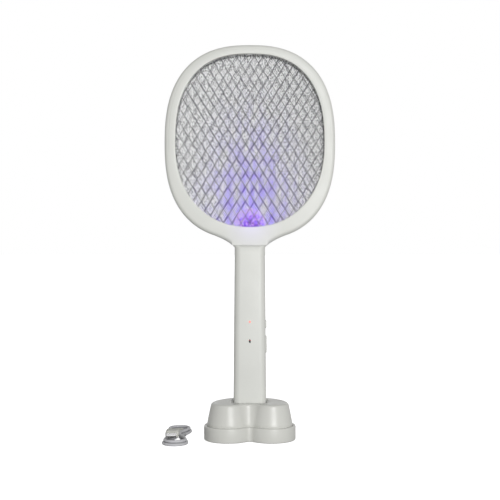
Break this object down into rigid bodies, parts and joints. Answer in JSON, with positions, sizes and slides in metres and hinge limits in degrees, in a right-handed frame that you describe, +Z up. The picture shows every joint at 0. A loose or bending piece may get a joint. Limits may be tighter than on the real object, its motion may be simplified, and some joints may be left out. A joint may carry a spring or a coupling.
{
  "type": "electric fly swatter",
  "caption": "Oval racket-shaped electric fly swatter with mesh grids and a violet lamp, on a square handle, standing in a lobed stand, with a bundled charging cable.",
  "frame": {"origin": "on the floor, under the middle of the swatter and its stand, leaving the loose cable out", "axes": "+Z up along the handle, -Y towards the front with the indicator lights, +X towards the side with the buttons"},
  "size_m": [0.2092, 0.108, 0.4814],
  "materials": {
    "light_plastic": "satin moulded, warm light grey",
    "stand_plastic": "satin moulded, warm light grey",
    "guard_steel": "plated wire mesh",
    "fine_steel": "bright fine mesh",
    "screw_steel": "zinc plated",
    "circuit_board": "green solder mask",
    "violet_lamp": "lit violet lamp",
    "violet_lens": "clear lens tinted by the lamp",
    "transformer": "wound copper under yellow tape",
    "capacitor": "dipped resin",
    "black_plastic": "black moulded",
    "cell_wrap": "shrink sleeve",
    "bright_metal": "nickel plated",
    "wire_cover": "wire insulation",
    "red_led": "lit red",
    "red_lens": "clear rod lit red",
    "dark_window": "smoked window",
    "foot_rubber": "soft rubber",
    "plug_plastic": "satin over-moulding",
    "plug_tongue": "white insulator",
    "tie_wire": "plastic covered wire",
    "cable_cover": "soft light grey cover"
  },
  "bodies": {
    "stand": {"stand_upper_shell": "stand_plastic", "stand_tray": "stand_plastic", "stand_socket": "stand_plastic", "stand_screws": "screw_steel", "rubber_feet": "foot_rubber", "usb_a_shell": "bright_metal", "usb_a_housing": "plug_plastic", "usb_a_tongue": "plug_tongue", "micro_usb_shell": "bright_metal", "micro_usb_housing": "plug_plastic", "cable_tie": "tie_wire", "cable_lead": "cable_cover", "cable_hank": "cable_cover"},
    "racket": {"front_frame": "light_plastic", "rear_frame": "light_plastic", "front_guard_grid": "guard_steel", "rear_guard_grid": "guard_steel", "hv_grid": "fine_steel", "front_spacer_ring": "light_plastic", "rear_spacer_ring": "light_plastic", "frame_screws": "screw_steel", "uv_led_board": "circuit_board", "uv_leds": "violet_lamp", "uv_lens": "violet_lens", "handle_front_shell": "light_plastic", "handle_rear_shell": "light_plastic", "shell_screws": "screw_steel", "main_circuit_board": "circuit_board", "board_screws": "screw_steel", "hv_transformer": "transformer", "hv_capacitor": "capacitor", "hv_diodes": "black_plastic", "battery_cell": "cell_wrap", "battery_tray": "black_plastic", "battery_contacts": "bright_metal", "battery_leads": "wire_cover", "hv_leads": "wire_cover", "uv_leads": "wire_cover", "mode_switch_body": "black_plastic", "trigger_microswitch": "black_plastic", "trigger_spring": "bright_metal", "power_led": "red_led", "indicator_light_pipe": "red_lens", "charge_led": "red_led", "charge_window": "dark_window", "charging_socket": "bright_metal"},
    "mode_slider": {"mode_slider_knob": "light_plastic"},
    "trigger": {"trigger_button": "light_plastic"}
  },
  "joints": [
    {"name": "racket_lift", "type": "slide", "parent": "stand", "child": "racket", "axis": [0, 0, 1], "range_m": [0, 0.06]},
    {"name": "mode_slider_travel", "type": "slide", "parent": "racket", "child": "mode_slider", "axis": [0, 0, 1], "range_m": [0, 0.0035]},
    {"name": "trigger_press", "type": "slide", "parent": "racket", "child": "trigger", "axis": [-1, 0, 0], "range_m": [0, 0.0012], "stiffness_N_per_m": 900, "springref_m": -0.0008, "deforming": ["trigger_spring"]}
  ]
}
